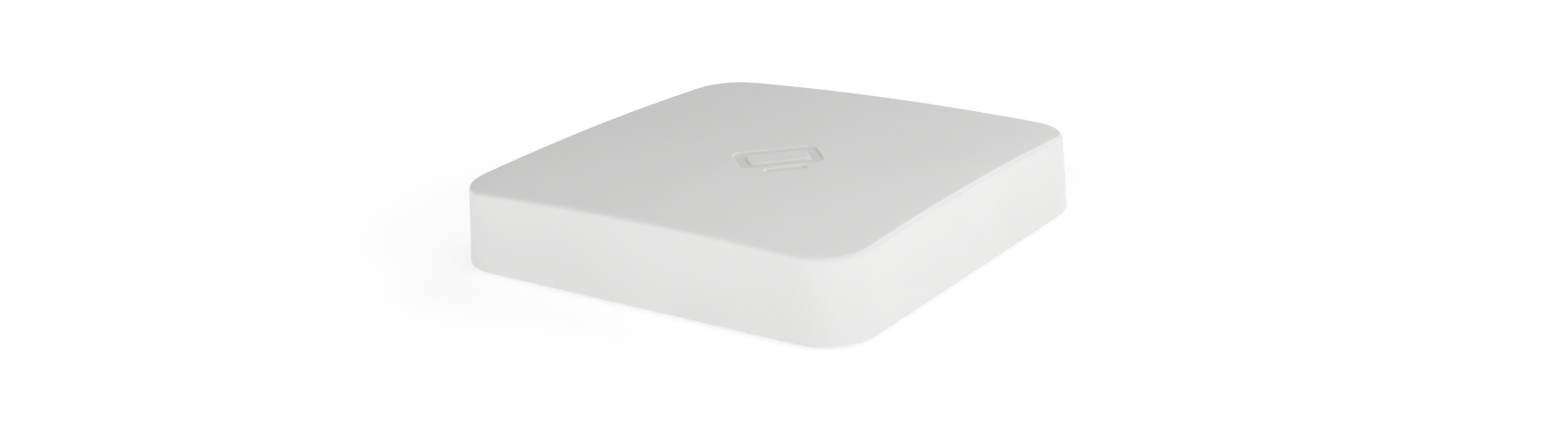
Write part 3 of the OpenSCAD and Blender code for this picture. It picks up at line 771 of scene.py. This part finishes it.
def build_capacitors():
    """Surface-mount cans: a foot with two cut corners, a beaded can and a dark polarity mark."""
    feet, cans, marks = [], [], []
    for low, high in islands("electrolytic_capacitors"):
        x, y = (low.x + high.x) / 2, (low.y + high.y) / 2
        half, foot_top = (high.x - low.x) / 2, low.z + 0.9 * MM
        cut = 1.3 * MM
        plan = (
            (-half, -half), (half, -half), (half, half - cut), (half - cut, half),
            (cut - half, half), (-half, half - cut),
        )
        feet.append(prism([(x + px, y + py) for px, py in plan], low.z, foot_top))
        r, top = 3.1 * MM, high.z
        soft, bead, groove = 0.35 * MM, foot_top + 1.1 * MM, 0.22 * MM
        end = top - 0.08 * MM
        profile = [(0, foot_top), (r, foot_top), (r, bead - 0.35 * MM)]
        profile += [(r - groove, bead - 0.1 * MM), (r - groove, bead + 0.1 * MM)]
        profile += [(r, bead + 0.35 * MM), *arc((r - soft, top - soft), soft, 0, 90, 6)]
        profile += [(r - 0.75 * MM, top), (r - 0.85 * MM, end), (0, end)]
        cans.append(lathe(profile, (x, y, 0), steps=64))
        marks.append(prism(can_mark(x, y, r - 0.9 * MM), end, end + 0.02 * MM))
    finished("capacitor_feet", feet, "electrolytic_capacitors", "chip_black")
    finished("capacitor_cans", cans, "electrolytic_capacitors")
    finished("capacitor_marks", marks, "electrolytic_capacitors", "chip_black")


def build_passives():
    """Chip capacitors and resistors, each a body between two tinned end caps."""
    bodies, caps = [], []
    cap = 0.24    # share of the length that each cap covers
    for low, high in islands("ceramic_passives"):
        along = 0 if high.x - low.x > high.y - low.y else 1
        length = (high - low)[along]
        inner_low = low + Vector((0.04, 0.04, 0.02)) * MM
        inner_high = high - Vector((0.04, 0.04, 0.04)) * MM
        inner_low[along] = low[along] + 0.15 * length
        inner_high[along] = high[along] - 0.15 * length
        bodies.append(box_part(inner_low, inner_high, 0.05 * MM))
        for start in (0, 1 - cap):
            cap_low, cap_high = low.copy(), high.copy()
            cap_low[along] = low[along] + start * length
            cap_high[along] = low[along] + (start + cap) * length
            caps.append(box_part(cap_low, cap_high, 0.09 * MM))
    finished("passive_bodies", bodies, "ceramic_passives")
    finished("passive_caps", caps, "ceramic_passives", "tin_plate")


def build_springs():
    """Smooth coils with closed ends, in the place of the CAD coils."""
    parts = []
    wire, turns, closed = 0.2 * MM, 5, 0.6    # closed is the flat part of a turn at each end
    for low, high in islands("heat_sink_springs"):
        x, y = (low.x + high.x) / 2, (low.y + high.y) / 2
        coil_r = (high.x - low.x) / 2 - wire
        z0, z1 = low.z + wire, high.z - wire
        around, along = turns * 28, []
        for i in range(around + 1):
            t = i / around
            a = 2 * math.pi * turns * t
            rise = min(1, max(0, (t * turns - closed) / (turns - 2 * closed)))
            z = z0 + (z1 - z0) * rise
            along.append(Vector((x + coil_r * math.cos(a), y + coil_r * math.sin(a), z)))
        parts.append(tube(along, wire, 10))
    finished("springs", parts, "heat_sink_springs")


def tube(points, radius, sides):
    """A round wire along points, as vertices and faces with closed ends."""
    verts, faces = [], []
    last = len(points) - 1
    for i, p in enumerate(points):
        along = (points[min(i + 1, last)] - points[max(i - 1, 0)]).normalized()
        across = along.cross(Vector((0, 0, 1))).normalized()
        up = across.cross(along)
        for k in range(sides):
            a = 2 * math.pi * k / sides
            verts.append(p + (across * math.cos(a) + up * math.sin(a)) * radius)
    for i in range(last):
        for k in range(sides):
            a, b = i * sides + k, i * sides + (k + 1) % sides
            faces.append((a, b, b + sides, a + sides))
    faces.append(tuple(range(sides - 1, -1, -1)))
    faces.append(tuple(range(last * sides, (last + 1) * sides)))
    return verts, faces


# Routes of the antennas' leads from plug to antenna, in millimetres
ROUTES = {
    "antenna_cable_right": (
        (33.1, -35, 7.2), (34.6, -35, 7.2), (36.6, -34, 7.3), (38.4, -32.7, 7.6),
        (39.8, -30.6, 8), (40.8, -28, 8.4), (41.7, -25, 8.8), (42.6, -21.5, 9.1),
        (43.5, -18, 9.4), (44.4, -14.6, 9.6), (45.2, -11.4, 9.8), (45.5, -8.6, 9.8),
    ),
    "antenna_cable_left": (
        (16.9, -35, 7.2), (15.4, -35, 7.2), (12.4, -35.6, 7.4), (8, -36.6, 7.7),
        (2.4, -37.6, 7.8), (-4, -38.1, 7.8), (-10, -38.3, 7.8), (-16, -38.1, 7.8),
        (-21.8, -37.4, 7.9), (-27.4, -36, 8.1), (-32.6, -33.8, 8.5), (-36.6, -31.2, 8.9),
        (-39.6, -28, 9.2), (-41.6, -24.4, 9.4), (-43, -20.4, 9.6), (-44.2, -16, 9.7),
        (-45.1, -11.8, 9.8), (-45.5, -8.6, 9.8),
    ),
}


def smooth_route(points, steps=8):
    """A Catmull-Rom curve through points."""
    ends = [points[0], *points, points[-1]]
    route = []
    for a, b, c, d in zip(ends, ends[1:], ends[2:], ends[3:]):
        for i in range(steps):
            t = i / steps
            route.append((b * 2 + (c - a) * t + (a * 2 - b * 5 + c * 4 - d) * t * t
                          + (b * 3 - a - c * 3 + d) * t * t * t) / 2)
    return route + [points[-1]]


def build_leads():
    """Thin coaxial leads: a jacket, then the bared braid that is soldered to the antenna."""
    for node, route in ROUTES.items():
        path = smooth_route([Vector(p) * MM for p in route])
        bared = 5    # steps of the path without the jacket
        finished(node + "_jacket", [tube(path[:-bared], 0.56 * MM, 20)], node)
        finished(node + "_braid", [tube(path[-bared - 1:], 0.42 * MM, 16)], node, "tin_plate")


def gild(piece, slot, chosen):
    """Gives a second finish to the faces whose middle passes a test."""
    piece.data.materials.append(MATERIALS[slot])
    for polygon in piece.data.polygons:
        if chosen(polygon.center):
            polygon.material_index = 1


# ------------------------------------------------------------------ every CAD node
EDGE_WIDTHS = {    # rounding of the nodes that keep their CAD shape
    "bottom_cover": 0.2 * MM, "rear_panel": 0.18 * MM, "case_screws": 0.08 * MM,
    "hdmi_shell": 0.06 * MM, "hdmi_tongue": 0.03 * MM, "ethernet_shell": 0.07 * MM,
    "ethernet_insert": 0.08 * MM, "usb_shell": 0.07 * MM, "usb_tongue": 0.03 * MM,
    "av_jack": 0.15 * MM, "power_jack": 0.18 * MM, "memory_chips": 0.06 * MM,
    "flash_chip": 0.06 * MM, "processor": 0.08 * MM, "power_inductors": 0.2 * MM,
    "ethernet_transformer": 0.06 * MM, "main_board": 0.08 * MM, "heat_sink": 0.12 * MM,
}
SMALL_EDGE = 0.05 * MM


def build_nodes():
    """Builds the bespoke pieces, then softens and paints every node that is left."""
    for build in (build_cover, build_feet, build_button, build_capacitors, build_passives,
                  build_springs, build_leads):
        build()
    softened_nodes = {}
    for node, piece in CAD.items():
        if not piece.hide_render:
            softened_nodes[node] = softened(node, EDGE_WIDTHS.get(node, SMALL_EDGE))
            paint(softened_nodes[node], SLOT_OF[node])
    return softened_nodes


def gild_contacts(pieces):
    """Contacts, leads and chips that are one node with the part that carries them."""
    def near(value, middle, reach):
        return abs(value - middle) < reach

    power_chips_x = (-41 * MM, 24.5 * MM)
    transformer_y = 21.5 * MM
    hdmi_rows = (BOARD_TOP + 2.145 * MM, BOARD_TOP + 3.955 * MM)
    gild(
        pieces["usb_tongue"], "gold_plate",
        lambda p: near(p.z, BOARD_TOP + 3.57 * MM, 0.07 * MM),
    )
    gild(
        pieces["hdmi_tongue"], "gold_plate",
        lambda p: p.y > 40 * MM and any(near(p.z, row, 0.05 * MM) for row in hdmi_rows),
    )
    gild(
        pieces["power_chips"], "tin_plate",
        lambda p: all(not near(p.x, x, 1.81 * MM) for x in power_chips_x),
    )
    gild(
        pieces["ethernet_transformer"], "tin_plate",
        lambda p: not near(p.y, transformer_y, 3.51 * MM),
    )
    gild(pieces["wifi_module"], "chip_black", lambda p: p.z > BOARD_TOP + 0.61 * MM)
    gild(pieces["processor"], "chip_black", lambda p: p.z > BOARD_TOP + 0.4 * MM)


# ------------------------------------------------------------------ floor, light and camera
FLOOR_GLOW = 0.57    # of the floor round the case
FAR_GLOW = 1.1       # of the floor further off, so that it meets the white horizon
GLOW_RISE = (0.08, 0.4)
FLOOR_SIZE = 4.0
# Height in the sky and its brightness: white horizon, dim band, broad pale ceiling
SKY = ((0.0, 1.2), (0.068, 1.2), (0.115, 0.05), (0.45, 0.32))
# Name, azimuth (0 in front, 90 to the right), elevation, distance, size and watts
LIGHTS = (
    ("right_softbox", 95, 18, 0.9, 0.7, 2.3),
    ("front_softbox", -10, 22, 0.9, 0.7, 1.85),
    ("near_softbox", 42, 62, 0.26, 0.2, 0.14),
    ("back_softbox", 175, 38, 0.9, 0.7, 2.85),
)


def build_floor():
    mesh = bpy.data.meshes.new("floor")
    corners = [(x * FLOOR_SIZE, y * FLOOR_SIZE, 0) for x, y in ((-1, -1), (1, -1), (1, 1), (-1, 1))]
    mesh.from_pydata(corners, [], [(0, 1, 2, 3)])
    floor = bpy.data.objects.new("floor", mesh)
    bpy.context.scene.collection.objects.link(floor)
    finish = Finish("Floor", Specular_IOR_Level=0.1)
    tone = finish.noise(6, detail=2)
    finish.colour(finish.ramp(tone, (0.3, (0.54, 0.54, 0.54)), (0.7, (0.56, 0.56, 0.56))))
    finish.rough(finish.spread(tone, 0.8, 0.9))
    finish.shader.inputs["Emission Color"].default_value = (1, 1, 1, 1)
    away = finish.nodes.new("ShaderNodeVectorMath")
    away.operation = "LENGTH"
    finish.links.new(finish.place, away.inputs[0])
    glow = finish.spread(away.outputs["Value"], FLOOR_GLOW, FAR_GLOW, *GLOW_RISE)
    finish.links.new(glow, finish.shader.inputs["Emission Strength"])
    mesh.materials.append(finish.material)


def build_world():
    """A sky whose brightness depends on height alone."""
    world = bpy.data.worlds.new("Studio")
    bpy.context.scene.world = world
    world.use_nodes = True
    nodes, links = world.node_tree.nodes, world.node_tree.links
    background = next(n for n in nodes if n.type == "BACKGROUND")
    split = nodes.new("ShaderNodeSeparateXYZ")
    links.new(nodes.new("ShaderNodeTexCoord").outputs["Generated"], split.inputs["Vector"])
    ramp = nodes.new("ShaderNodeValToRGB")
    elements = ramp.color_ramp.elements
    while len(elements) < len(SKY):
        elements.new(0.5)
    for element, (height, strength) in zip(elements, SKY):
        element.position = height
        element.color = (strength, strength, strength, 1)
    links.new(split.outputs["Z"], ramp.inputs["Fac"])
    links.new(ramp.outputs["Color"], background.inputs["Color"])


def softbox(name, azimuth, elevation, distance, size, watts):
    """A square area light that faces the case."""
    a, e = math.radians(azimuth), math.radians(elevation)
    back = Vector((math.sin(a) * math.cos(e), -math.cos(a) * math.cos(e), math.sin(e)))
    light = bpy.data.lights.new(name, "AREA")
    light.shape = "SQUARE"
    light.size = size
    light.energy = watts
    lamp = bpy.data.objects.new(name, light)
    bpy.context.scene.collection.objects.link(lamp)
    lamp.location = back * distance
    lamp.rotation_mode = "QUATERNION"
    lamp.rotation_quaternion = back.to_track_quat("Z", "Y")
    lamp.visible_camera = False


def build_camera():
    azimuth, elevation, roll = (math.radians(d) for d in (35.118, 19.284, -2.470))
    distance, across, up = 395.8 * MM, -1.785 * MM, -2.93 * MM
    back = Vector((
        math.sin(azimuth) * math.cos(elevation),
        -math.cos(azimuth) * math.cos(elevation),
        math.sin(elevation),
    ))
    level = Vector((math.cos(azimuth), math.sin(azimuth), 0))
    upright = back.cross(level)
    right = level * math.cos(roll) + upright * math.sin(roll)
    top = upright * math.cos(roll) - level * math.sin(roll)
    camera = bpy.data.objects.new("camera", bpy.data.cameras.new("camera"))
    camera.data.lens = 41.486
    camera.data.sensor_width = 36
    camera.data.sensor_fit = "HORIZONTAL"
    camera.data.clip_start = 0.01
    place = back * distance - right * across - top * up + Vector((0, 0, RIM_Z))
    camera.matrix_world = Matrix((
        (right.x, top.x, back.x, place.x),
        (right.y, top.y, back.y, place.y),
        (right.z, top.z, back.z, place.z),
        (0, 0, 0, 1),
    ))
    bpy.context.scene.collection.objects.link(camera)
    bpy.context.scene.camera = camera


gild_contacts(build_nodes())
build_floor()
build_world()
for light in LIGHTS:
    softbox(*light)
build_camera()
bpy.context.scene.view_settings.view_transform = "Standard"
